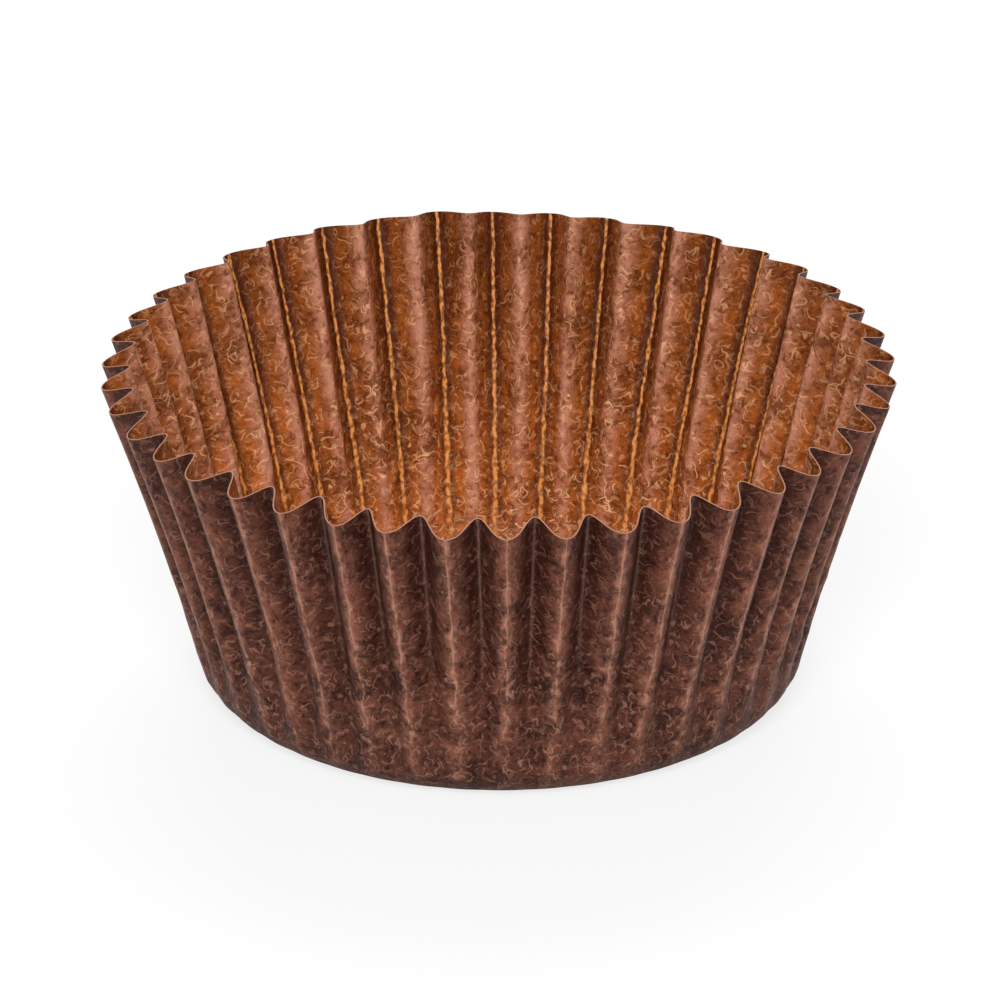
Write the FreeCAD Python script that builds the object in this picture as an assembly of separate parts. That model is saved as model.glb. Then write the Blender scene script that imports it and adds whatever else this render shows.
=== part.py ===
import FreeCAD, Part
import functools
import math
import os

# Fluted paper liner for baking: one round sheet of greaseproof paper, pressed
# once between fluted dies into a flat base and a flared, fluted wall.
# Millimetres, Z up. The origin is the centre of the underside of the base.

# Sizes that set the liner
BASE_DIAMETER = 45.6        # flat round of paper that rests on the table
BEND_RADIUS = 4.1           # soft bend between the base and the wall
RIM_DIAMETER = 70.0         # over the outer ridges, at the cut edge
RIM_HEIGHT = 29.2           # of the outer ridges, at the cut edge
WALL_BOW_RADIUS = 333.0     # the wall hollows slightly and flares as it rises
PAPER = 0.12                # thickness of the sheet
FLUTES = 42                 # flutes round the wall
CREASE_SHARPNESS = 0.12     # 0 for even waves, more for broad ridges outside

# Flat facets that draw the curves, few enough to keep the liner light
FACETS_PER_FLUTE = 10
BEND_ROWS = 3
WALL_ROWS = 3

base_radius = BASE_DIAMETER / 2
rim_radius = RIM_DIAMETER / 2


# The profile over the outer ridges is the flat base, an arc for the bend, then
# an arc that hollows the other way for the wall. The two arcs touch smoothly.
def wall_arc_centre():
    """Radius and height of the wall arc's centre, outside the liner."""
    run = rim_radius - base_radius
    rise = RIM_HEIGHT - BEND_RADIUS
    gap = math.hypot(run, rise)
    reach = BEND_RADIUS + WALL_BOW_RADIUS
    along = (reach ** 2 - WALL_BOW_RADIUS ** 2 + gap ** 2) / (2 * gap)
    aside = math.sqrt(reach ** 2 - along ** 2)
    radius = base_radius + (along * run + aside * rise) / gap
    height = BEND_RADIUS + (along * rise - aside * run) / gap
    return radius, height


arc_radius, arc_height = wall_arc_centre()
bend_angle = math.atan2(arc_radius - base_radius, BEND_RADIUS - arc_height)
rim_angle = math.atan2(arc_radius - rim_radius, RIM_HEIGHT - arc_height)
bend_length = BEND_RADIUS * bend_angle
wall_length = WALL_BOW_RADIUS * (bend_angle - rim_angle)
sheet_radius = base_radius + bend_length + wall_length


def profile(reach):
    """Radius, height and slope of the profile at a distance along the sheet."""
    past_base = reach - base_radius
    if past_base <= bend_length:
        slope = max(past_base, 0.0) / BEND_RADIUS
        radius = min(reach, base_radius) + BEND_RADIUS * math.sin(slope)
        height = BEND_RADIUS * (1 - math.cos(slope))
        return radius, height, slope
    slope = bend_angle - (past_base - bend_length) / WALL_BOW_RADIUS
    radius = arc_radius - WALL_BOW_RADIUS * math.sin(slope)
    height = arc_height + WALL_BOW_RADIUS * math.cos(slope)
    return radius, height, slope


def fold(phase):
    """Fold inwards as a share of the flute's depth, 0 on the outer ridge."""
    wave = (1 - math.cos(2 * math.pi * phase)) / 2
    tightening = (1 - math.cos(4 * math.pi * phase)) / 2
    return wave - CREASE_SHARPNESS * tightening


def place(reach, turn, depth):
    """Point of the sheet's outer face; turn counts flutes round the wall."""
    radius, height, slope = profile(reach)
    inwards = depth * fold(turn)
    radius -= inwards * math.sin(slope)
    height += inwards * math.cos(slope)
    angle = 2 * math.pi * turn / FLUTES
    return FreeCAD.Vector(
        radius * math.cos(angle),
        radius * math.sin(angle),
        height,
    )


def loop_length(reach, depth):
    """Length of paper round the wall when the flutes have this depth."""
    steps = 2 * FACETS_PER_FLUTE
    points = [place(reach, step / (2 * steps), depth) for step in range(steps + 1)]
    half_flute = sum(
        first.distanceToPoint(second)
        for first, second in zip(points, points[1:])
    )
    return 2 * FLUTES * half_flute


@functools.lru_cache
def flute_depth(reach):
    """Depth that uses up the paper, as each circle of the sheet keeps its length."""
    if reach <= base_radius:
        return 0.0
    shallow = 0.0
    deep = reach
    for halving in range(30):
        middle = (shallow + deep) / 2
        if loop_length(reach, middle) < 2 * math.pi * reach:
            shallow = middle
        else:
            deep = middle
    return deep


def facing(reach, turn):
    """Direction square to the sheet, pointing out of the liner."""
    if reach <= base_radius:
        return FreeCAD.Vector(0, 0, -1)
    step = 0.01
    low = reach - step
    high = reach + step
    along = place(high, turn, flute_depth(high)) - place(low, turn, flute_depth(low))
    depth = flute_depth(reach)
    around = place(reach, turn + step, depth) - place(reach, turn - step, depth)
    return around.cross(along).normalize()


def ring(reach, inset):
    """Corners round the liner, a set distance inside its outer face."""
    depth = flute_depth(reach)
    flute = []
    for corner in range(FACETS_PER_FLUTE):
        turn = corner / FACETS_PER_FLUTE
        flute.append(place(reach, turn, depth) - facing(reach, turn) * inset)
    corners = []
    for index in range(FLUTES):
        turned = FreeCAD.Rotation(FreeCAD.Vector(0, 0, 1), 360 * index / FLUTES)
        corners += [turned.multVec(point) for point in flute]
    return corners


def heights():
    """Distances along the sheet of the rings of corners, from base to rim."""
    bend = [base_radius + bend_length * row / BEND_ROWS for row in range(BEND_ROWS)]
    wall_foot = base_radius + bend_length
    wall = [wall_foot + wall_length * row / WALL_ROWS for row in range(WALL_ROWS + 1)]
    return bend + wall


def wall_shell():
    """The fluted bend and wall: out of the base, over the cut edge and back in."""
    up = [ring(reach, 0.0) for reach in heights()]
    down = [ring(reach, PAPER) for reach in reversed(heights())]
    rings = up + down
    count = FLUTES * FACETS_PER_FLUTE
    corners = [corner for one in rings for corner in one]
    facets = []
    for row in range(len(rings) - 1):
        for column in range(count):
            beside = (column + 1) % count
            here = row * count + column
            right = row * count + beside
            above = here + count
            above_right = right + count
            facets.append((here, right, above_right))
            facets.append((here, above_right, above))
    shell = Part.Shape()
    shell.makeShapeFromMesh((corners, facets), 0.001)
    return shell


def base_face(foot, faces_up):
    """Flat round of the base, inside one foot ring of the wall."""
    face = Part.Face(Part.Wire(Part.sortEdges(foot)[0]))
    if (face.normalAt(0, 0).z > 0) != faces_up:
        face.reverse()
    return face


def liner():
    """The whole sheet as one solid."""
    wall = wall_shell()
    open_edges = wall.Shells[0].getFreeEdges().Edges
    under = [edge for edge in open_edges if edge.BoundBox.ZMax < PAPER / 2]
    within = [edge for edge in open_edges if edge.BoundBox.ZMax > PAPER / 2]
    faces = wall.Faces
    faces.append(base_face(under, False))
    faces.append(base_face(within, True))
    solid = Part.Solid(Part.makeShell(faces))
    if solid.Volume < 0:
        solid.reverse()
    return solid


os.makedirs("parts", exist_ok=True)
liner().exportStep("parts/liner.step")
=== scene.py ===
import math

import bpy
from bpy.props import (
    FloatProperty,
    FloatVectorProperty,
    IntProperty,
    PointerProperty,
)
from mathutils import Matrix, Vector


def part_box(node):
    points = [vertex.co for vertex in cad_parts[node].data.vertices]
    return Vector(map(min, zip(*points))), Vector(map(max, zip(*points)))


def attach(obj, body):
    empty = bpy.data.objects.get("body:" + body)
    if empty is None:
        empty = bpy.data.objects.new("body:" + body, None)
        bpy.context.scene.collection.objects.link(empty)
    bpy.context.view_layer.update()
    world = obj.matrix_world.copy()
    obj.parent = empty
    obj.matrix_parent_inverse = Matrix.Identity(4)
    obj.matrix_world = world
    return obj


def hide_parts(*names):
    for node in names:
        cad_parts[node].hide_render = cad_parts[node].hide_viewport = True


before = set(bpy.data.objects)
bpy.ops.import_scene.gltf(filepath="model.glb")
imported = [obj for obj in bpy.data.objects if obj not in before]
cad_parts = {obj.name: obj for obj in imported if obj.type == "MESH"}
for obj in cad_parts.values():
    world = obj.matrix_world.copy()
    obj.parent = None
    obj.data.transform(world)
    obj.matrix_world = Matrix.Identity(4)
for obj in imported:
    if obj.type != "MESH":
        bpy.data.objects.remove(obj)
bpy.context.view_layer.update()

bl_info = {
    "name": "Fluted paper baking cup",
    "version": (1, 0, 0),
    "blender": (4, 5, 0),
    "location": "3D View > Sidebar > Baking Cup",
    "description": "Builds a fluted paper baking cup with its paper finishes and a studio",
    "category": "Add Mesh",
}

LINER_LOW, LINER_HIGH = (Vector(corner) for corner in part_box("liner"))

# Shape of the pressed sheet
BASE_SHARE = 0.125      # of the sheet's rows, for the flat base
WAVE_PAPER = 0.118      # paper that a wave takes up, over the square of its depth
ZIGZAG = 0.07           # share of each fold that is straight-sided, for a light fold line
GATHERING = (0.02, 0.45, 0.12, 0.90)    # rise at its start and end, share of depth at each

# Unevenness round the cup: noise scale, noise detail and amount
RIDGE_DRIFT = (3.1, 2.0, 2.1)           # sideways, in radians of the flute's wave
DEPTH_SWING = (6.7, 1.0, 0.26)          # share of the flute's depth
OUT_OF_ROUND = (0.8, 0.0, 0.0012)       # of the radius, in metres
RIM_WAVE = (5.3, 0.0, 0.0005)           # of the height, in metres
CHANGE_UP_THE_WALL = 0.22               # how far the noise moves on from base to rim
ROUND_SHARE = 0.2                       # of the rows, which stay truly round

# Small crumples low on the wall
COARSE_CRUMPLE = {"scale": 360.0, "detail": 1.0, "rough": 0.5, "warp": 0.4}
FINE_CRUMPLE = {"scale": 950.0, "detail": 1.0, "rough": 0.6, "warp": 0.6}
COARSE_SHARE = 2.6
FINE_SHARE = 1.2
CRUMPLES_START = (0.10, 0.28)           # rise over which they gather
CRUMPLES_FADE = (0.30, 0.75)            # rise over which they fade
CRUMPLES_LEFT = 0.10                    # share that is left at the rim

WELD = 0.000002         # metres, below which two points are one
HARD_EDGE = 1.15        # radians, above which an edge stays crisp

# Half-widths of the marks along the flutes, in metres: whole to the first, gone at the second
RIDGE_BAND = (0.00005, 0.00080)
RIDGE_LINE = (0.00003, 0.00017)
GROOVE_LINE = (0.00010, 0.00034)
CREASE_LINE = (0.00006, 0.00028)

# How the marks stray from their place, in metres
WOBBLE_LOW = 0.0012     # from side to side, low on the wall
WOBBLE_AT_RIM = 0.0003
FRAYING = 0.0011        # of the edges of a mark

# Spots on the sheet's noise that are far apart, so that the wear of the marks differs
WORN_SPOT = (0.5, 0.2, 0.0)
BEADS_SPOT = (0.3, 0.8, 0.0)
CREASING_SPOT = (0.9, 0.6, 0.0)

# Spacing, curl radius, length and width of each layer of threads, in metres
THREAD_LAYERS = (
    (0.00125, 0.00048, 0.00072, 0.000105),
    (0.00105, 0.00036, 0.00058, 0.000092),
    (0.00150, 0.00080, 0.00092, 0.000105),
    (0.00075, 0.00024, 0.00036, 0.000080),
)
DARK_GAP_LAYER = (0.00090, 0.00045, 0.00055, 0.000140)
LAYER_STEP = Vector((0.13, 0.31, 0.0))  # from one layer's place on the noise to the next
THREAD_WANDER = 0.0007                  # metres that the threads stray from their curl

# Paper as it takes light
LIGHT_THROUGH = 0.10            # share of the light that passes through the sheet
RELIEF = 0.0003                 # depth of the bumps that only the light shows, in metres
OUTSIDE_SHINE = (0.52, 0.18)    # roughness and specular level
INSIDE_SHINE = (0.50, 0.15)
OUTSIDE_SEED = 0.0              # place of the fibres' pattern on the sheet, in metres
INSIDE_SEED = 0.35

# Studio
WHITE = (1.0, 1.0, 1.0, 1.0)
AIM_HEIGHT = 0.56               # of the cup's height, where the camera and lamps point
FLOOR_HALF_WIDTH = 3.0
FLOOR_GLOW = 1.04               # as the camera sees it, just past white
GLOW_NEAR_CUP = 0.75            # share of that glow there, so that the soft shadow shows
SHADOW_REACH = (0.06, 0.26)     # metres from the middle, over which the shadow fades out


# Sizes and colours


class LinerSettings(bpy.types.PropertyGroup):
    """Sizes of the pressed sheet"""

    flutes: IntProperty(
        name="Flutes",
        description="Number of flutes round the wall",
        default=42,
        min=8,
        max=80,
    )
    points_per_flute: IntProperty(
        name="Points per Flute",
        description="Mesh columns across one flute",
        default=24,
        min=8,
        max=32,
    )
    rows: IntProperty(
        name="Rows",
        description="Mesh rows from the middle of the base to the cut edge",
        default=41,
        min=12,
        max=60,
    )
    base_diameter: FloatProperty(
        name="Base Diameter",
        description="Flat round that rests on the table",
        default=0.0456,
        min=0.01,
        subtype="DISTANCE",
        unit="LENGTH",
    )
    bend_radius: FloatProperty(
        name="Bend Radius",
        description="Soft bend between the base and the wall",
        default=0.0041,
        min=0.0005,
        subtype="DISTANCE",
        unit="LENGTH",
    )
    rim_diameter: FloatProperty(
        name="Rim Diameter",
        description="Across the outer ridges at the cut edge",
        default=LINER_HIGH.x - LINER_LOW.x,
        min=0.02,
        subtype="DISTANCE",
        unit="LENGTH",
    )
    rim_height: FloatProperty(
        name="Rim Height",
        description="Height of the outer ridges at the cut edge",
        default=0.0292,
        min=0.01,
        subtype="DISTANCE",
        unit="LENGTH",
    )
    wall_bow_radius: FloatProperty(
        name="Wall Bow Radius",
        description="Radius of the slight outward hollow of the wall",
        default=0.333,
        min=0.05,
        subtype="DISTANCE",
        unit="LENGTH",
    )
    paper: FloatProperty(
        name="Paper",
        description="Thickness of the sheet",
        default=0.00012,
        min=0.00002,
        subtype="DISTANCE",
        unit="LENGTH",
    )
    crease_sharpness: FloatProperty(
        name="Crease Sharpness",
        description="0 gives even waves, more gives broad ridges and tight creases",
        default=0.15,
        min=0.0,
        max=0.24,
        subtype="FACTOR",
    )
    unevenness: FloatProperty(
        name="Unevenness",
        description="How much the flutes differ from one another",
        default=1.0,
        min=0.0,
        max=3.0,
        subtype="FACTOR",
    )
    crumple_depth: FloatProperty(
        name="Crumple Depth",
        description="Depth of the small crumples low on the wall",
        default=0.00013,
        min=0.0,
        subtype="DISTANCE",
        unit="LENGTH",
    )
    seed: FloatProperty(
        name="Seed",
        description="Fixed start of the unevenness",
        default=4.0,
    )


class PaperSettings(bpy.types.PropertyGroup):
    """Colours of the dyed paper and of the shade and light painted on it"""

    outside: FloatVectorProperty(
        name="Outside",
        description="Dyed paper on the outside",
        subtype="COLOR",
        size=3,
        min=0.0,
        max=1.0,
        default=(0.185, 0.057, 0.032),
    )
    # Also laid as painted shade in the flanks of the flutes and low on the wall
    outside_dark: FloatVectorProperty(
        name="Outside Dark",
        description="Darker patches where the dye gathered",
        subtype="COLOR",
        size=3,
        min=0.0,
        max=1.0,
        default=(0.028, 0.0065, 0.003),
    )
    # Paler along the outer ridges: partly paper rubbed paler, partly a painted highlight
    ridge: FloatVectorProperty(
        name="Ridge",
        description="Paper rubbed paler along the outer ridges",
        subtype="COLOR",
        size=3,
        min=0.0,
        max=1.0,
        default=(0.45, 0.195, 0.125),
    )
    # Pale fibres; the same colour is laid as a painted highlight line along the outer ridges
    fleck_and_ridge_glint: FloatVectorProperty(
        name="Fleck",
        description="Pale fibres that show in the surface",
        subtype="COLOR",
        size=3,
        min=0.0,
        max=1.0,
        default=(0.50, 0.24, 0.165),
    )
    # Painted reflection: a greyer line of gloss at the bottom of each crease
    crease: FloatVectorProperty(
        name="Crease",
        description="Greyer line at the bottom of each crease",
        subtype="COLOR",
        size=3,
        min=0.0,
        max=1.0,
        default=(0.16, 0.088, 0.070),
    )
    inside: FloatVectorProperty(
        name="Inside",
        description="Dyed paper on the inside",
        subtype="COLOR",
        size=3,
        min=0.0,
        max=1.0,
        default=(0.545, 0.140, 0.019),
    )
    # Also laid as painted shade in the grooves and high on the wall
    inside_dark: FloatVectorProperty(
        name="Inside Dark",
        description="Darker patches and grooves on the inside",
        subtype="COLOR",
        size=3,
        min=0.0,
        max=1.0,
        default=(0.058, 0.008, 0.0005),
    )
    # Painted highlight: a duller, paler streak of sheen along the crests of the ridges that
    # point into the cup
    inside_ridge_highlight: FloatVectorProperty(
        name="Inside Ridge",
        description="Duller streak along the ridges that point into the cup",
        subtype="COLOR",
        size=3,
        min=0.0,
        max=1.0,
        default=(0.64, 0.30, 0.21),
    )
    # Painted light: a golden line of light shining through the sheet at the bottom of each
    # groove
    inside_glow_line: FloatVectorProperty(
        name="Inside Line",
        description="Golden line where the sheet is thinnest, at the bottom of each groove",
        subtype="COLOR",
        size=3,
        min=0.0,
        max=1.0,
        default=(1.0, 0.40, 0.10),
    )
    inside_fleck: FloatVectorProperty(
        name="Inside Fleck",
        description="Bright fibres on the inside",
        subtype="COLOR",
        size=3,
        min=0.0,
        max=1.0,
        default=(1.0, 0.55, 0.27),
    )
    glow: FloatVectorProperty(
        name="Glow",
        description="Colour of the light that passes through the sheet",
        subtype="COLOR",
        size=3,
        min=0.0,
        max=1.0,
        default=(0.60, 0.17, 0.045),
    )
    cut_edge: FloatVectorProperty(
        name="Cut Edge",
        description="Bare fibre along the cut rim",
        subtype="COLOR",
        size=3,
        min=0.0,
        max=1.0,
        default=(0.40, 0.19, 0.12),
    )


class StageSettings(bpy.types.PropertyGroup):
    """Floor, light and view"""

    floor: FloatVectorProperty(
        name="Floor",
        description="Plain white floor",
        subtype="COLOR",
        size=3,
        min=0.0,
        max=1.0,
        default=(0.86, 0.86, 0.86),
    )
    front_lamp: FloatProperty(
        name="Front Lamp",
        description="Power of the soft lamp above the camera",
        default=11.0,
        min=0.0,
        unit="POWER",
    )
    back_lamp: FloatProperty(
        name="Back Lamp",
        description="Power of the soft lamp behind the cup",
        default=7.2,
        min=0.0,
        unit="POWER",
    )
    sky: FloatProperty(
        name="Sky",
        description="Strength of the even light from all round",
        default=0.36,
        min=0.0,
    )
    elevation: FloatProperty(
        name="Elevation",
        description="Angle of the view above the horizon",
        default=math.radians(24.8),
        subtype="ANGLE",
        unit="ROTATION",
    )
    turn: FloatProperty(
        name="Turn",
        description="Angle of the view round the cup, so that an outer ridge is in front",
        default=math.radians(3.3),
        subtype="ANGLE",
        unit="ROTATION",
    )
    distance: FloatProperty(
        name="Distance",
        description="From the camera to the cup",
        default=1.756,
        min=0.2,
        subtype="DISTANCE",
        unit="LENGTH",
    )
    field: FloatProperty(
        name="Field",
        description="Width of the view at the cup",
        default=0.088,
        min=0.01,
        subtype="DISTANCE",
        unit="LENGTH",
    )


# Node building


class Nodes:
    """Adds nodes to a tree and joins them up."""

    def __init__(self, tree):
        self.tree = tree

    def add(self, kind, inputs=None, **settings):
        """A node with its settings made and its inputs set or linked."""
        node = self.tree.nodes.new(kind)
        for name, value in settings.items():
            setattr(node, name, value)
        for key, value in (inputs or {}).items():
            self.feed(node.inputs[key], value)
        return node

    def feed(self, socket, value):
        if isinstance(value, bpy.types.NodeSocket):
            self.tree.links.new(value, socket)
        else:
            socket.default_value = value

    def math(self, operation, *values):
        node = self.add("ShaderNodeMath", operation=operation)
        for socket, value in zip(node.inputs, values):
            self.feed(socket, value)
        return node.outputs[0]

    def total(self, *values):
        result = values[0]
        for value in values[1:]:
            result = self.math("ADD", result, value)
        return result

    def product(self, *values):
        result = values[0]
        for value in values[1:]:
            result = self.math("MULTIPLY", result, value)
        return result

    def minus(self, value, taken):
        return self.math("SUBTRACT", value, taken)

    def over(self, value, divisor):
        return self.math("DIVIDE", value, divisor)

    def sine(self, angle):
        return self.math("SINE", angle)

    def cosine(self, angle):
        return self.math("COSINE", angle)

    def distance(self, value, other=0.0):
        """How far a number is from another, or from 0."""
        return self.math("ABSOLUTE", self.minus(value, other))

    def scaled(self, value, low, high, new_low=0.0, new_high=1.0, smooth=False):
        """The span from low to high, stretched to another and held at its ends."""
        node = self.add(
            "ShaderNodeMapRange",
            {
                "Value": value,
                "From Min": low,
                "From Max": high,
                "To Min": new_low,
                "To Max": new_high,
            },
            interpolation_type="SMOOTHSTEP" if smooth else "LINEAR",
        )
        return node.outputs["Result"]

    def spread(self, share, low, high):
        """A share from 0 to 1, stretched to run from low to high."""
        return self.scaled(share, 0.0, 1.0, low, high)

    def rising(self, value, start, end):
        """0 up to the start, 1 from the end on."""
        return self.scaled(value, start, end, smooth=True)

    def fading(self, value, start, end, last=0.0):
        """1 up to the start, the last value from the end on."""
        return self.scaled(value, start, end, 1.0, last, smooth=True)

    def vector(self, x, y, z):
        return self.add("ShaderNodeCombineXYZ", {"X": x, "Y": y, "Z": z}).outputs[0]

    def polar(self, radius, angle, height):
        """Point at a distance from the axis, an angle round it and a height."""
        x = self.product(radius, self.cosine(angle))
        y = self.product(radius, self.sine(angle))
        return self.vector(x, y, height)

    def on_vectors(self, operation, first, second):
        return self.add("ShaderNodeVectorMath", {0: first, 1: second}, operation=operation)

    def shifted(self, vector, by):
        return self.on_vectors("ADD", vector, by).outputs[0]

    def between(self, vector, start):
        """The step from the start to a point."""
        return self.on_vectors("SUBTRACT", vector, start).outputs[0]

    def along(self, vector, amount):
        node = self.add("ShaderNodeVectorMath", {0: vector, "Scale": amount}, operation="SCALE")
        return node.outputs[0]

    def length(self, vector):
        node = self.add("ShaderNodeVectorMath", {0: vector}, operation="LENGTH")
        return node.outputs["Value"]

    def noise(self, vector, scale, detail=0.0, rough=0.5, warp=0.0):
        """Noise in space, from 0 to 1."""
        inputs = {
            "Vector": vector,
            "Scale": scale,
            "Detail": detail,
            "Roughness": rough,
            "Distortion": warp,
        }
        return self.add("ShaderNodeTexNoise", inputs, noise_dimensions="3D").outputs["Fac"]

    def sheet_noise(self, vector, scale, detail=0.0, rough=0.5, output="Fac"):
        """Noise on the flat sheet, from 0 to 1."""
        inputs = {"Vector": vector, "Scale": scale, "Detail": detail, "Roughness": rough}
        return self.add("ShaderNodeTexNoise", inputs, noise_dimensions="2D").outputs[output]

    def sheet_attribute(self, name, output="Fac"):
        """What the pressed sheet has stored for its finishes."""
        return self.add("ShaderNodeAttribute", attribute_name=name).outputs[output]


# The pressed sheet


def wall_slopes(sizes):
    """Slope of the profile where the bend ends and at the rim, in radians."""
    run = (sizes.rim_diameter - sizes.base_diameter) / 2
    rise = sizes.rim_height - sizes.bend_radius
    gap = math.hypot(run, rise)
    reach = sizes.bend_radius + sizes.wall_bow_radius
    along = (reach ** 2 - sizes.wall_bow_radius ** 2 + gap ** 2) / (2 * gap)
    aside = math.sqrt(reach ** 2 - along ** 2)
    centre_run = (along * run + aside * rise) / gap
    centre_drop = (aside * run - along * rise) / gap
    foot = math.atan2(centre_run, centre_drop)
    rim = math.atan2(centre_run - run, rise + centre_drop)
    return foot, rim


def sheet_profile(n, given, up):
    """Distance along the sheet, radius, height and slope over the outer ridges.

    The profile is the flat base, an arc for the bend, then a slightly bowed wall.
    """
    bend_length = n.product(given["Bend Radius"], given["Bend Slope"])
    slope_change = n.minus(given["Bend Slope"], given["Rim Slope"])
    wall_length = n.product(given["Wall Bow Radius"], slope_change)
    on_base = n.product(n.scaled(up, 0.0, BASE_SHARE), given["Base Radius"])
    past_base = n.product(n.scaled(up, BASE_SHARE, 1.0), n.total(bend_length, wall_length))
    past_bend = n.math("MAXIMUM", n.minus(past_base, bend_length), 0.0)

    free_slope = n.over(past_base, given["Bend Radius"])
    bend_slope = n.math("MINIMUM", free_slope, given["Bend Slope"])
    wall_slope = n.minus(given["Bend Slope"], n.over(past_bend, given["Wall Bow Radius"]))
    slope = n.minus(n.total(bend_slope, wall_slope), given["Bend Slope"])

    bend_run = n.sine(bend_slope)
    wall_run = n.minus(n.sine(given["Bend Slope"]), n.sine(wall_slope))
    radius = n.total(
        on_base,
        n.product(given["Bend Radius"], bend_run),
        n.product(given["Wall Bow Radius"], wall_run),
    )
    bend_rise = n.minus(1.0, n.cosine(bend_slope))
    wall_rise = n.minus(n.cosine(wall_slope), n.cosine(given["Bend Slope"]))
    height = n.total(
        n.product(given["Bend Radius"], bend_rise),
        n.product(given["Wall Bow Radius"], wall_rise),
    )
    return n.total(on_base, past_base), radius, height, slope


def flute_depth(n, given, reach, radius, slope):
    """Depth of the flutes, so that each circle of the sheet keeps its length.

    The paper in a wave grows with the square of its depth.
    """
    half_inward = n.product(0.5, n.sine(slope))
    wave_share = n.total(
        n.product(half_inward, half_inward),
        n.product(given["Flutes"], given["Flutes"], WAVE_PAPER),
    )
    spare = n.minus(n.product(reach, reach), n.product(radius, radius))
    straight = n.product(half_inward, radius)
    squared = n.total(n.product(straight, straight), n.product(wave_share, spare))
    root = n.math("SQRT", n.math("MAXIMUM", squared, 0.0))
    return n.over(n.total(straight, root), wave_share)


def flute_fold(n, given, turn):
    """Fold inwards as a share of the flute's depth, and the marks that go with it.

    The marks are the share of the way from an outer ridge to the next crease, and
    the distance beside that ridge in flutes, less than 0 on one side of it.
    """
    phase = n.product(turn, math.tau)
    wave = n.product(0.5, n.minus(1.0, n.cosine(phase)))
    tightening = n.product(0.5, n.minus(1.0, n.cosine(n.product(phase, 2.0))))
    soft_fold = n.minus(wave, n.product(given["Crease Sharpness"], tightening))
    off_ridge = n.product(2.0, n.distance(n.math("FRACT", n.total(turn, 0.5)), 0.5))
    fold = n.total(n.product(1.0 - ZIGZAG, soft_fold), n.product(ZIGZAG, off_ridge))
    return fold, off_ridge, n.over(n.sine(phase), math.tau)


def stored(n, mesh, name, value, kind="FLOAT", domain="POINT"):
    """The mesh with a value stored on it under a name."""
    node = n.add(
        "GeometryNodeStoreNamedAttribute",
        {"Geometry": mesh, "Name": name, "Value": value},
        data_type=kind,
        domain=domain,
    )
    return node.outputs[0]


def recalled(n, name, kind="FLOAT"):
    """The value stored under a name."""
    return n.add("GeometryNodeInputNamedAttribute", {"Name": name}, data_type=kind).outputs[0]


def moved(n, mesh, **places):
    """The mesh with its points set to a Position or moved by an Offset."""
    return n.add("GeometryNodeSetPosition", {"Geometry": mesh, **places}).outputs[0]


def welded(n, mesh):
    """The mesh with points that coincide made one."""
    inputs = {"Geometry": mesh, "Distance": WELD}
    return n.add("GeometryNodeMergeByDistance", inputs).outputs[0]


def pressed(n, given):
    """A grid pressed into the fluted cup, as its outer face with no thickness yet."""
    # A square grid stands for the sheet: across it is once round the cup, up it
    # is from the middle of the base to the cut edge.
    grid = n.add(
        "GeometryNodeMeshGrid",
        {
            "Size X": 1.0,
            "Size Y": 1.0,
            "Vertices X": given["Columns"],
            "Vertices Y": given["Rows"],
        },
    )
    position = n.add("GeometryNodeInputPosition").outputs[0]
    spot = n.add("ShaderNodeSeparateXYZ", {0: position}).outputs
    across = n.total(spot["X"], 0.5)
    up = n.total(spot["Y"], 0.5)
    angle = n.product(across, math.tau)
    reach, radius, height, slope = sheet_profile(n, given, up)
    depth = flute_depth(n, given, reach, radius, slope)
    fold, off_ridge, beside_ridge = flute_fold(n, given, n.product(across, given["Flutes"]))
    rise = n.scaled(up, BASE_SHARE, 1.0)

    # Unevenness is read on a ring, so that it closes without a seam.
    climb = n.total(n.product(up, CHANGE_UP_THE_WALL), given["Seed"])
    climbing_ring = n.polar(1.0, angle, climb)
    level_ring = n.polar(1.0, angle, given["Seed"])

    def uneven(ring, scale, detail, amount):
        swing = n.minus(n.noise(ring, scale, detail), 0.5)
        return n.product(amount, n.product(swing, given["Unevenness"]))

    drift = uneven(climbing_ring, *RIDGE_DRIFT)
    swing = uneven(climbing_ring, *DEPTH_SWING)
    bulge = uneven(level_ring, *OUT_OF_ROUND)
    rim_wave = uneven(level_ring, *RIM_WAVE)

    gathered = n.scaled(rise, *GATHERING, smooth=True)
    inward = n.product(fold, n.product(depth, gathered, n.total(1.0, swing)))
    past_round = n.scaled(up, ROUND_SHARE, 1.0)
    final_radius = n.total(
        n.minus(radius, n.product(inward, n.sine(slope))),
        n.product(bulge, past_round),
    )
    final_height = n.total(
        height,
        n.product(inward, n.cosine(slope)),
        n.product(rim_wave, past_round),
    )
    final_angle = n.total(angle, n.over(drift, given["Flutes"]))

    # The finishes read how far a spot is from an outer ridge, on which side of it,
    # how high it is on the wall, and where it lay on the flat sheet.
    sheet = grid.outputs["Mesh"]
    for name, value, kind in (
        ("off_ridge", off_ridge, "FLOAT"),
        ("beside_ridge", beside_ridge, "FLOAT"),
        ("rise", rise, "FLOAT"),
        ("flat_sheet", n.polar(reach, angle, 0.0), "FLOAT_VECTOR"),
    ):
        sheet = stored(n, sheet, name, value, kind)
    place = n.polar(final_radius, final_angle, final_height)
    return welded(n, moved(n, sheet, Position=place))


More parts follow.
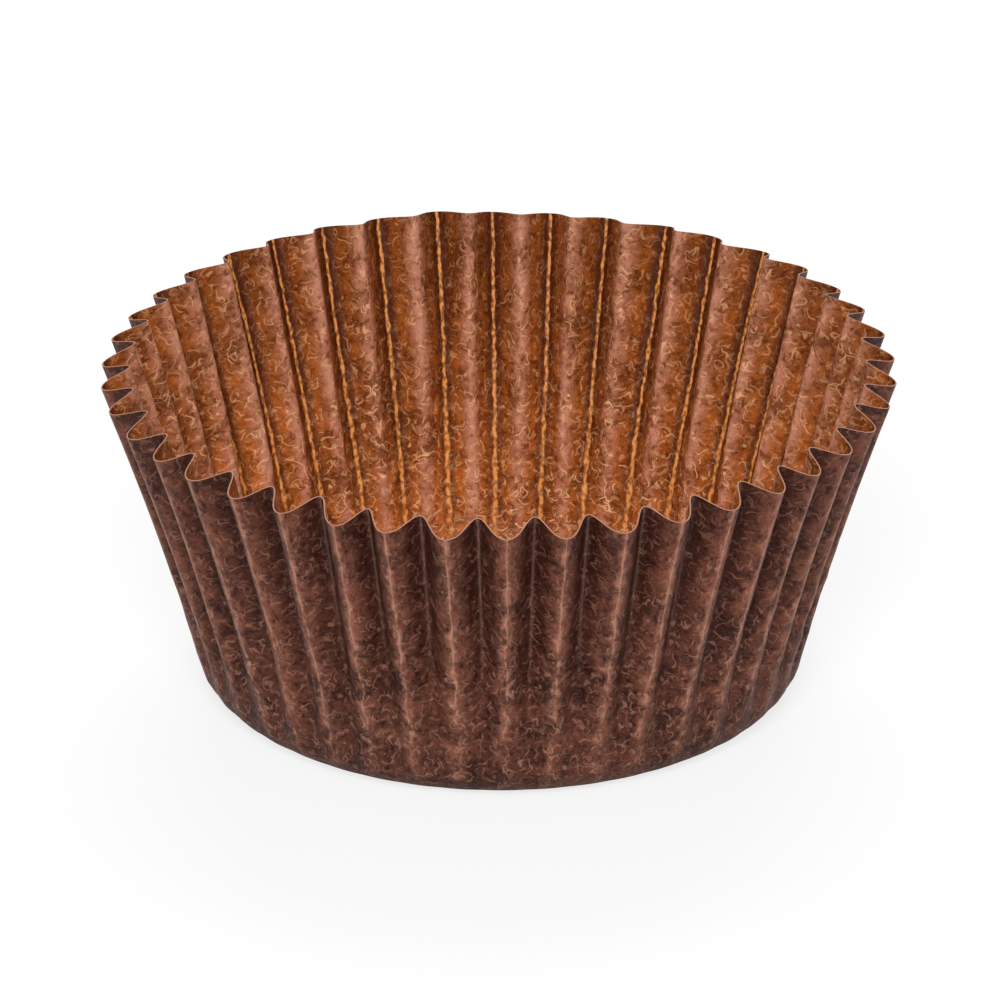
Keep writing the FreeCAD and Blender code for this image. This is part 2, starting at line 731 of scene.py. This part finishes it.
def crumpled(n, given, sheet):
    """Small crumples gather where the wall meets the base and die out higher up."""
    place = n.add("GeometryNodeInputPosition").outputs[0]
    normal = n.add("GeometryNodeInputNormal").outputs[0]
    rise = recalled(n, "rise")
    low_wall = n.product(
        n.rising(rise, *CRUMPLES_START),
        n.fading(rise, *CRUMPLES_FADE, last=CRUMPLES_LEFT),
    )
    coarse = n.minus(n.noise(place, **COARSE_CRUMPLE), 0.5)
    fine = n.minus(n.noise(place, **FINE_CRUMPLE), 0.5)
    bumps = n.total(n.product(COARSE_SHARE, coarse), n.product(FINE_SHARE, fine))
    offset = n.along(normal, n.product(bumps, low_wall, given["Crumple Depth"]))
    return moved(n, sheet, Offset=offset)


def thickened(n, given, sheet):
    """The sheet gets its thickness on the inside; skin is 0 out, 1 in and 2 on the cut."""
    normal = n.add("GeometryNodeInputNormal").outputs[0]
    outer = stored(n, sheet, "facing", normal, "FLOAT_VECTOR")
    grown = n.add(
        "GeometryNodeExtrudeMesh",
        {"Mesh": outer, "Offset Scale": 0.0, "Individual": False},
        mode="FACES",
    ).outputs
    facing = recalled(n, "facing", "FLOAT_VECTOR")
    inwards = n.along(facing, n.product(given["Paper"], -1.0))
    inner = moved(n, grown["Mesh"], Selection=grown["Top"], Offset=inwards)
    inner = n.add("GeometryNodeFlipFaces", {"Mesh": inner}).outputs[0]
    inner = stored(n, inner, "skin", n.total(1.0, grown["Side"]), domain="FACE")
    both = n.add("GeometryNodeJoinGeometry")
    for skin in (inner, outer):
        n.tree.links.new(skin, both.inputs[0])
    return welded(n, both.outputs[0])


def shaded_smooth(n, sheet):
    """Smooth faces, with crisp edges along the cut."""
    inputs = {"Geometry": sheet, "Shade Smooth": True}
    sheet = n.add("GeometryNodeSetShadeSmooth", inputs, domain="FACE").outputs[0]
    edge_angle = n.add("GeometryNodeInputMeshEdgeAngle").outputs["Unsigned Angle"]
    hard = n.math("GREATER_THAN", edge_angle, HARD_EDGE)
    inputs = {"Geometry": sheet, "Selection": hard, "Shade Smooth": False}
    return n.add("GeometryNodeSetShadeSmooth", inputs, domain="EDGE").outputs[0]


def pressed_sheet_tree():
    """A flat sheet of paper is pressed into a fluted cup."""
    tree = bpy.data.node_groups.new("Pressed Fluted Sheet", "GeometryNodeTree")
    for name, kind in (
        ("Flutes", "NodeSocketInt"),
        ("Columns", "NodeSocketInt"),
        ("Rows", "NodeSocketInt"),
        ("Base Radius", "NodeSocketFloat"),
        ("Bend Radius", "NodeSocketFloat"),
        ("Bend Slope", "NodeSocketFloat"),
        ("Wall Bow Radius", "NodeSocketFloat"),
        ("Rim Slope", "NodeSocketFloat"),
        ("Paper", "NodeSocketFloat"),
        ("Crease Sharpness", "NodeSocketFloat"),
        ("Unevenness", "NodeSocketFloat"),
        ("Crumple Depth", "NodeSocketFloat"),
        ("Seed", "NodeSocketFloat"),
        ("Outside Paper", "NodeSocketMaterial"),
        ("Inside Paper", "NodeSocketMaterial"),
        ("Cut Edge", "NodeSocketMaterial"),
    ):
        tree.interface.new_socket(name=name, in_out="INPUT", socket_type=kind)
    tree.interface.new_socket(
        name="Geometry", in_out="OUTPUT", socket_type="NodeSocketGeometry"
    )
    n = Nodes(tree)
    given = n.add("NodeGroupInput").outputs
    sheet = pressed(n, given)
    sheet = crumpled(n, given, sheet)
    sheet = thickened(n, given, sheet)
    sheet = shaded_smooth(n, sheet)
    sheet = n.add("GeometryNodeRealizeInstances", {"Geometry": sheet}).outputs[0]
    skin = recalled(n, "skin")
    for name, above in (("Outside Paper", -1.0), ("Inside Paper", 0.5), ("Cut Edge", 1.5)):
        chosen = n.math("GREATER_THAN", skin, above)
        inputs = {"Geometry": sheet, "Selection": chosen, "Material": given[name]}
        sheet = n.add("GeometryNodeSetMaterial", inputs).outputs[0]
    n.add("NodeGroupOutput", {"Geometry": sheet})
    return tree


# Finishes


def new_shader_group(name, inputs, outputs):
    """An empty group with its sockets, its node builder and its input node's sockets."""
    group = bpy.data.node_groups.new(name, "ShaderNodeTree")
    for label, kind in inputs:
        group.interface.new_socket(name=label, in_out="INPUT", socket_type=kind)
    for label in outputs:
        group.interface.new_socket(
            name=label, in_out="OUTPUT", socket_type="NodeSocketFloat"
        )
    n = Nodes(group)
    return group, n, n.add("NodeGroupInput").outputs


def curled_thread_group():
    """Scattered short threads, each a bent line through its own random point."""
    group, n, given = new_shader_group(
        "Curled Threads",
        (
            ("Sheet", "NodeSocketVector"),
            ("Spacing", "NodeSocketFloat"),
            ("Curl Radius", "NodeSocketFloat"),
            ("Length", "NodeSocketFloat"),
            ("Width", "NodeSocketFloat"),
        ),
        ("Thread",),
    )
    cells = n.add(
        "ShaderNodeTexVoronoi",
        {"Vector": given["Sheet"], "Scale": n.over(1.0, given["Spacing"])},
        voronoi_dimensions="2D",
    ).outputs
    chance = n.add("ShaderNodeSeparateColor", {"Color": cells["Color"]}).outputs
    from_point = n.between(given["Sheet"], cells["Position"])
    radius = n.product(given["Curl Radius"], n.spread(chance["Green"], 0.55, 1.65))
    centre = n.polar(radius, n.product(chance["Red"], math.tau), 0.0)
    off_line = n.distance(n.length(n.between(from_point, centre)), radius)
    line = n.fading(off_line, 0.0, given["Width"])
    tapering = n.product(0.6, given["Length"])
    ends = n.fading(n.length(from_point), tapering, given["Length"])
    bright = n.spread(chance["Blue"], 0.35, 1.0)
    n.add("NodeGroupOutput", {"Thread": n.product(line, ends, bright)})
    return group


def paper_fibre_group(threads):
    """Mottled dye and pale curled fibres, read on the flat sheet."""
    group, n, given = new_shader_group(
        "Paper Fibres", (("Seed", "NodeSocketFloat"),), ("Mottle", "Thread", "Height")
    )
    start = n.vector(given["Seed"], n.product(0.7, given["Seed"]), 0.0)
    sheet = n.shifted(n.sheet_attribute("flat_sheet", "Vector"), start)
    patches = n.sheet_noise(sheet, scale=480.0, detail=2.0, rough=0.65)
    drifts = n.sheet_noise(sheet, scale=95.0)
    grain = n.sheet_noise(sheet, scale=2000.0, detail=1.0)
    dye = n.total(n.product(0.54, patches), n.product(0.26, grain), n.product(0.20, drifts))
    mottle = n.scaled(dye, 0.38, 0.62)

    # The threads wander a little, so that no two have the same curl.
    wander = n.sheet_noise(sheet, scale=1250.0, output="Color")
    wandering = n.shifted(sheet, n.along(wander, THREAD_WANDER))

    def layer(step, sizes):
        inputs = {"Sheet": n.shifted(wandering, LAYER_STEP * step)}
        inputs.update(zip(("Spacing", "Curl Radius", "Length", "Width"), sizes))
        return n.add("ShaderNodeGroup", inputs, node_tree=threads).outputs["Thread"]

    # A mat of finer fibres shows as thin lines where the grain crosses its middle.
    thread = n.product(0.38, n.fading(n.distance(grain, 0.5), 0.0, 0.035))
    for step, sizes in enumerate(THREAD_LAYERS):
        thread = n.math("MAXIMUM", thread, layer(step, sizes))
    dark_gap = layer(len(THREAD_LAYERS), DARK_GAP_LAYER)
    mottle = n.product(mottle, n.minus(1.0, n.product(0.8, dark_gap)))
    n.add("NodeGroupOutput", {"Mottle": mottle, "Thread": thread, "Height": patches})
    return group


def flute_mark_group():
    """Masks that follow the flutes: along the outer ridges and in the creases."""
    group, n, given = new_shader_group(
        "Flute Marks",
        (("Flutes", "NodeSocketFloat"),),
        (
            "Ridge Band",
            "Ridge Line",
            "Groove",
            "Groove Line",
            "Flank",
            "Inner Ridge",
            "Crease Line",
            "Crinkle",
            "Rise",
        ),
    )
    off_ridge = n.sheet_attribute("off_ridge")
    rise = n.sheet_attribute("rise")
    flat = n.sheet_attribute("flat_sheet", "Vector")

    # Distances from the middle of an outer ridge and of a crease, in metres
    flute_width = n.product(n.length(flat), n.over(math.tau, given["Flutes"]))
    off_centre = n.product(n.sheet_attribute("beside_ridge"), flute_width)
    from_crease = n.product(0.5, n.minus(1.0, off_ridge), flute_width)

    # Noises that make the marks wander, fray, fade in patches and break into beads
    wobble = n.product(
        n.minus(n.sheet_noise(flat, scale=480.0, detail=1.0), 0.5),
        n.scaled(rise, 0.3, 0.9, WOBBLE_LOW, WOBBLE_AT_RIM),
    )
    ragged = n.product(
        n.minus(n.sheet_noise(flat, scale=1150.0, detail=1.0), 0.5), FRAYING
    )
    worn = n.sheet_noise(n.shifted(flat, WORN_SPOT), scale=600.0, detail=1.0)
    beads = n.sheet_noise(n.shifted(flat, BEADS_SPOT), scale=1900.0)
    creasing = n.sheet_noise(
        n.shifted(flat, CREASING_SPOT), scale=620.0, detail=1.0, rough=0.6
    )

    # Where on the wall the marks show
    wall = n.rising(rise, 0.05, 0.20)
    outer_half = n.scaled(off_ridge, 0.30, 0.50, 1.0, 0.0)
    outer_wall = n.product(wall, outer_half)
    lasting = n.product(outer_wall, n.scaled(rise, 0.10, 0.60, 0.65, 1.0, smooth=True))
    crumple_zone = n.product(n.rising(rise, 0.08, 0.25), n.fading(rise, 0.40, 0.75, last=0.15))
    unbroken = n.scaled(rise, 0.35, 0.80, 0.0, 0.50, smooth=True)

    # Distances from each mark, with its wandering and fraying
    off_band = n.distance(n.total(off_centre, wobble, ragged))
    off_line = n.distance(n.total(off_centre, wobble))
    off_groove = n.distance(n.total(off_centre, n.product(0.45, ragged)))
    glint_beads = n.total(n.product(0.5, worn), n.product(0.5, beads))
    n.add(
        "NodeGroupOutput",
        {
            "Ridge Band": n.product(
                n.fading(off_band, *RIDGE_BAND),
                n.scaled(worn, 0.38, 0.60, 0.30, 1.0),
                lasting,
            ),
            "Ridge Line": n.product(
                n.fading(off_line, *RIDGE_LINE),
                n.scaled(glint_beads, 0.42, 0.54, unbroken, 1.0),
                lasting,
            ),
            "Groove": n.product(n.fading(off_ridge, 0.12, 0.55), wall),
            "Groove Line": n.product(
                n.fading(off_groove, *GROOVE_LINE),
                n.scaled(beads, 0.38, 0.55, 0.35, 1.0),
                outer_wall,
            ),
            "Flank": n.product(n.rising(off_ridge, 0.22, 0.80), wall),
            "Inner Ridge": n.product(n.rising(off_ridge, 0.55, 0.96), wall),
            "Crease Line": n.product(
                n.fading(from_crease, *CREASE_LINE), n.rising(rise, 0.40, 0.75)
            ),
            "Crinkle": n.product(creasing, crumple_zone),
            "Rise": rise,
        },
    )
    return group


def blend_colours(n, amount, first, second):
    """Colour between two colours."""
    node = n.add("ShaderNodeMix", data_type="RGBA", blend_type="MIX")
    n.feed(node.inputs["Factor"], amount)
    for name, value in (("A", first), ("B", second)):
        socket = next(s for s in node.inputs if s.name == name and s.type == "RGBA")
        is_link = isinstance(value, bpy.types.NodeSocket)
        n.feed(socket, value if is_link else (*value, 1.0))
    return next(s for s in node.outputs if s.type == "RGBA")


def coated(n, colour, coats):
    """The colour with coats of others laid over it in turn."""
    for amount, coat in coats:
        colour = blend_colours(n, amount, colour, coat)
    return colour


def outside_colour(n, fibres, marks, colours):
    """Dark mottled dye with painted shade in the flanks and low on the wall, paler along the
    ridges from wear and a painted highlight, with painted highlight lines and glints on the
    ridges, a painted reflection in the creases, and pale fibres.
    """
    rise = marks["Rise"]
    band = marks["Ridge Band"]
    mottled = blend_colours(n, fibres["Mottle"], colours.outside_dark, colours.outside)
    # Painted shade in the flanks, stronger towards the rim
    flank_shade_amount = n.scaled(rise, 0.25, 0.80, 0.30, 0.95)
    # Painted shade low on the wall, deepest at the foot
    foot = n.scaled(rise, 0.05, 0.42, 0.36, 0.0, smooth=True)
    fibre_strength = n.scaled(rise, 0.15, 0.9, 0.82, 0.45)
    # Painted glints: fibres show brighter on the ridge band
    ridge_glint_boost = n.total(0.82, n.product(1.1, band))
    return coated(
        n,
        mottled,
        (
            # Painted shade in the flanks of the flutes
            (n.product(flank_shade_amount, marks["Flank"]), colours.outside_dark),
            # Paler ridge band: partly wear, partly a painted highlight
            (n.product(0.52, band), colours.ridge),
            # Painted highlight line along each outer ridge, broken into glints
            (n.product(0.72, marks["Ridge Line"]), colours.fleck_and_ridge_glint),
            # Painted reflection along the bottom of each crease
            (n.product(0.45, marks["Crease Line"]), colours.crease),
            # Painted shade low on the wall
            (foot, colours.outside_dark),
            (n.product(fibre_strength, fibres["Thread"], ridge_glint_boost), colours.fleck_and_ridge_glint),
        ),
    )


def inside_colour(n, fibres, marks, colours):
    """Orange-brown dye with painted shade in the grooves and high on the wall, a painted
    highlight along the inner ridges, painted golden lines of light shining through at the
    bottom of the grooves, and bright fibres.
    """
    rise = marks["Rise"]
    mottle = n.spread(fibres["Mottle"], 0.30, 1.0)
    mottled = blend_colours(n, mottle, colours.inside_dark, colours.inside)
    shade = n.scaled(rise, 0.25, 1.0, 0.0, 0.35)
    # Painted highlight along the crests of the inner ridges
    streak = n.product(
        n.scaled(fibres["Mottle"], 0.05, 0.95, 0.12, 0.85), marks["Inner Ridge"]
    )
    # Painted shade in the grooves, deeper higher up the wall
    groove_shade = n.product(n.scaled(rise, 0.10, 0.70, 0.50, 0.97), marks["Groove"])
    fibre_strength = n.scaled(rise, 0.15, 0.9, 0.90, 0.52)
    # Fibres show less in the painted groove shade and more on the inner ridges
    out_of_groove = n.minus(
        n.spread(marks["Inner Ridge"], 1.10, 1.45), n.product(0.9, groove_shade)
    )
    return coated(
        n,
        mottled,
        (
            (shade, colours.inside_dark),
            (streak, colours.inside_ridge_highlight),
            (groove_shade, colours.inside_dark),
            # Painted light shining through at the bottom of each groove
            (n.product(0.90, marks["Groove Line"]), colours.inside_glow_line),
            (n.product(fibre_strength, fibres["Thread"], out_of_groove), colours.inside_fleck),
        ),
    )


def paper_material(name, face_colour, colours, groups, flutes, seed, shine):
    """Dyed greaseproof paper that lets a little light through."""
    material = bpy.data.materials.new(name)
    material.use_nodes = True
    tree = material.node_tree
    tree.nodes.clear()
    n = Nodes(tree)
    fibres = n.add("ShaderNodeGroup", {"Seed": seed}, node_tree=groups["fibres"]).outputs
    marks = n.add("ShaderNodeGroup", {"Flutes": flutes}, node_tree=groups["marks"]).outputs
    height = n.total(n.product(0.6, fibres["Height"]), n.product(1.8, marks["Crinkle"]))
    relief = {"Strength": 0.8, "Distance": RELIEF, "Height": height}
    bump = n.add("ShaderNodeBump", relief)
    roughness, specular = shine
    paper = n.add(
        "ShaderNodeBsdfPrincipled",
        {
            "Base Color": face_colour(n, fibres, marks, colours),
            "Normal": bump.outputs[0],
            "Roughness": roughness,
            "Specular IOR Level": specular,
        },
    )
    passing = n.add("ShaderNodeBsdfTranslucent", {"Color": (*colours.glow, 1.0)})
    both = n.add(
        "ShaderNodeMixShader",
        {"Fac": LIGHT_THROUGH, 1: paper.outputs[0], 2: passing.outputs[0]},
    )
    n.add("ShaderNodeOutputMaterial", {"Surface": both.outputs[0]})
    return material


def cut_edge_material(colour):
    """Bare, slightly fuzzy fibre along the cut."""
    material = bpy.data.materials.new("Cut Paper Edge")
    material.use_nodes = True
    paper = material.node_tree.nodes["Principled BSDF"]
    paper.inputs["Base Color"].default_value = (*colour, 1.0)
    paper.inputs["Roughness"].default_value = 0.8
    return material


# Operators


def plain_object(name, source):
    """A new object whose mesh is the evaluated result of another, which goes."""
    graph = bpy.context.evaluated_depsgraph_get()
    mesh = bpy.data.meshes.new_from_object(source.evaluated_get(graph), depsgraph=graph)
    mesh.name = name
    if mesh.materials[0] is None:
        mesh.materials.pop(index=0)
    for spare in ("facing", "skin"):
        mesh.attributes.remove(mesh.attributes[spare])
    source.modifiers.clear()
    piece = bpy.data.objects.new(name, mesh)
    bpy.context.scene.collection.objects.link(piece)
    bpy.data.objects.remove(source)
    return piece


class BAKINGCUP_OT_paper_cup(bpy.types.Operator):
    """Press the paper cup from one round sheet and give it its paper finishes"""

    bl_idname = "bakingcup.paper_cup"
    bl_label = "Paper Cup"

    def execute(self, context):
        sizes = context.scene.baking_cup_liner
        colours = context.scene.baking_cup_paper
        groups = {
            "fibres": paper_fibre_group(curled_thread_group()),
            "marks": flute_mark_group(),
        }
        outside = paper_material(
            "Outside Paper",
            outside_colour,
            colours,
            groups,
            flutes=sizes.flutes,
            seed=OUTSIDE_SEED,
            shine=OUTSIDE_SHINE,
        )
        inside = paper_material(
            "Inside Paper",
            inside_colour,
            colours,
            groups,
            flutes=sizes.flutes,
            seed=INSIDE_SEED,
            shine=INSIDE_SHINE,
        )
        foot_slope, rim_slope = wall_slopes(sizes)
        tree = pressed_sheet_tree()
        start = bpy.data.objects.new("pressed_sheet", bpy.data.meshes.new("flat_sheet"))
        context.scene.collection.objects.link(start)
        modifier = start.modifiers.new("Pressed Fluted Sheet", "NODES")
        modifier.node_group = tree
        values = {
            "Flutes": sizes.flutes,
            "Columns": sizes.flutes * sizes.points_per_flute + 1,
            "Rows": sizes.rows,
            "Base Radius": sizes.base_diameter / 2,
            "Bend Radius": sizes.bend_radius,
            "Bend Slope": foot_slope,
            "Wall Bow Radius": sizes.wall_bow_radius,
            "Rim Slope": rim_slope,
            "Paper": sizes.paper,
            "Crease Sharpness": sizes.crease_sharpness,
            "Unevenness": sizes.unevenness,
            "Crumple Depth": sizes.crumple_depth,
            "Seed": sizes.seed,
            "Outside Paper": outside,
            "Inside Paper": inside,
            "Cut Edge": cut_edge_material(colours.cut_edge),
        }
        for socket in tree.interface.items_tree:
            if socket.in_out == "INPUT":
                modifier[socket.identifier] = values[socket.name]
        cup = plain_object("paper_cup", start)
        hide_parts("liner")
        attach(cup, "root")
        return {"FINISHED"}


def white_floor(colour):
    """A plain floor that keeps the cup's soft shadow and is pure white away from it."""
    half = FLOOR_HALF_WIDTH
    mesh = bpy.data.meshes.new("floor")
    mesh.from_pydata(
        [(-half, -half, 0.0), (half, -half, 0.0), (half, half, 0.0), (-half, half, 0.0)],
        [],
        [(0, 1, 2, 3)],
    )
    floor = bpy.data.objects.new("floor", mesh)
    bpy.context.scene.collection.objects.link(floor)
    white = bpy.data.materials.new("White Floor")
    white.use_nodes = True
    tree = white.node_tree
    tree.nodes.clear()
    n = Nodes(tree)
    matt = n.add("ShaderNodeBsdfDiffuse", {"Color": (*colour, 1.0)})
    bright = n.add("ShaderNodeEmission", {"Color": WHITE, "Strength": FLOOR_GLOW})
    seen = n.add("ShaderNodeLightPath").outputs["Is Camera Ray"]
    away = n.length(n.add("ShaderNodeTexCoord").outputs["Object"])
    share = n.scaled(away, *SHADOW_REACH, GLOW_NEAR_CUP, 1.0, smooth=True)
    mix = n.add(
        "ShaderNodeMixShader",
        {"Fac": n.product(share, seen), 1: matt.outputs[0], 2: bright.outputs[0]},
    )
    n.add("ShaderNodeOutputMaterial", {"Surface": mix.outputs[0]})
    mesh.materials.append(white)


def even_light(strength):
    """Light from all round that the camera sees as white."""
    world = bpy.data.worlds.new("Even Light")
    world.use_nodes = True
    tree = world.node_tree
    tree.nodes.clear()
    n = Nodes(tree)
    even = n.add("ShaderNodeBackground", {"Color": WHITE, "Strength": strength})
    shown = n.add("ShaderNodeBackground", {"Color": WHITE, "Strength": 1.0})
    seen = n.add("ShaderNodeLightPath").outputs["Is Camera Ray"]
    mix = n.add(
        "ShaderNodeMixShader", {"Fac": seen, 1: even.outputs[0], 2: shown.outputs[0]}
    )
    n.add("ShaderNodeOutputWorld", {"Surface": mix.outputs[0]})
    bpy.context.scene.world = world


def soft_lamp(name, place, size, power, target):
    """A large rectangular lamp aimed at a point."""
    data = bpy.data.lights.new(name, "AREA")
    data.shape = "RECTANGLE"
    data.size, data.size_y = size
    data.energy = power
    lamp = bpy.data.objects.new(name, data)
    lamp.location = place
    lamp.rotation_euler = (target - Vector(place)).to_track_quat("-Z", "Y").to_euler()
    bpy.context.scene.collection.objects.link(lamp)


def long_lens_camera(stage, target):
    """A camera far off with a narrow view, aimed at a point."""
    data = bpy.data.cameras.new("camera")
    data.sensor_width = 36.0
    data.lens = data.sensor_width * stage.distance / stage.field
    data.clip_start = 0.05
    data.clip_end = 20.0
    camera = bpy.data.objects.new("camera", data)
    level = math.cos(stage.elevation)
    toward = Vector(
        (
            level * math.sin(stage.turn),
            -level * math.cos(stage.turn),
            math.sin(stage.elevation),
        )
    )
    camera.location = target + toward * stage.distance
    camera.rotation_euler = (-toward).to_track_quat("-Z", "Y").to_euler()
    bpy.context.scene.collection.objects.link(camera)
    bpy.context.scene.camera = camera


class BAKINGCUP_OT_stage(bpy.types.Operator):
    """Lay the white floor, hang the soft lamps and aim the camera"""

    bl_idname = "bakingcup.stage"
    bl_label = "Studio"

    def execute(self, context):
        stage = context.scene.baking_cup_stage
        middle = Vector((0.0, 0.0, LINER_HIGH.z * AIM_HEIGHT))
        white_floor(stage.floor)
        even_light(stage.sky)
        soft_lamp(
            "front_lamp",
            place=(0.0, -0.95, 0.80),
            size=(0.45, 0.40),
            power=stage.front_lamp,
            target=middle,
        )
        soft_lamp(
            "back_lamp",
            place=(0.0, 0.75, 0.75),
            size=(0.8, 0.6),
            power=stage.back_lamp,
            target=middle,
        )
        long_lens_camera(stage, middle)
        context.scene.view_settings.view_transform = "Standard"
        return {"FINISHED"}


class BAKINGCUP_PT_panel(bpy.types.Panel):
    """Sizes, colours and buttons for the baking cup"""

    bl_idname = "BAKINGCUP_PT_panel"
    bl_label = "Baking Cup"
    bl_space_type = "VIEW_3D"
    bl_region_type = "UI"
    bl_category = "Baking Cup"

    def draw(self, context):
        scene = context.scene
        for label, group in (
            ("Pressed sheet", scene.baking_cup_liner),
            ("Paper", scene.baking_cup_paper),
            ("Studio", scene.baking_cup_stage),
        ):
            box = self.layout.box()
            box.label(text=label)
            for name in group.__annotations__:
                box.prop(group, name)
        self.layout.operator(BAKINGCUP_OT_paper_cup.bl_idname)
        self.layout.operator(BAKINGCUP_OT_stage.bl_idname)


CLASSES = (
    LinerSettings,
    PaperSettings,
    StageSettings,
    BAKINGCUP_OT_paper_cup,
    BAKINGCUP_OT_stage,
    BAKINGCUP_PT_panel,
)


def register():
    for one in CLASSES:
        bpy.utils.register_class(one)
    bpy.types.Scene.baking_cup_liner = PointerProperty(type=LinerSettings)
    bpy.types.Scene.baking_cup_paper = PointerProperty(type=PaperSettings)
    bpy.types.Scene.baking_cup_stage = PointerProperty(type=StageSettings)


def unregister():
    del bpy.types.Scene.baking_cup_stage
    del bpy.types.Scene.baking_cup_paper
    del bpy.types.Scene.baking_cup_liner
    for one in reversed(CLASSES):
        bpy.utils.unregister_class(one)


def main():
    register()
    bpy.ops.bakingcup.paper_cup()
    bpy.ops.bakingcup.stage()


if __name__ == "__main__":
    main()
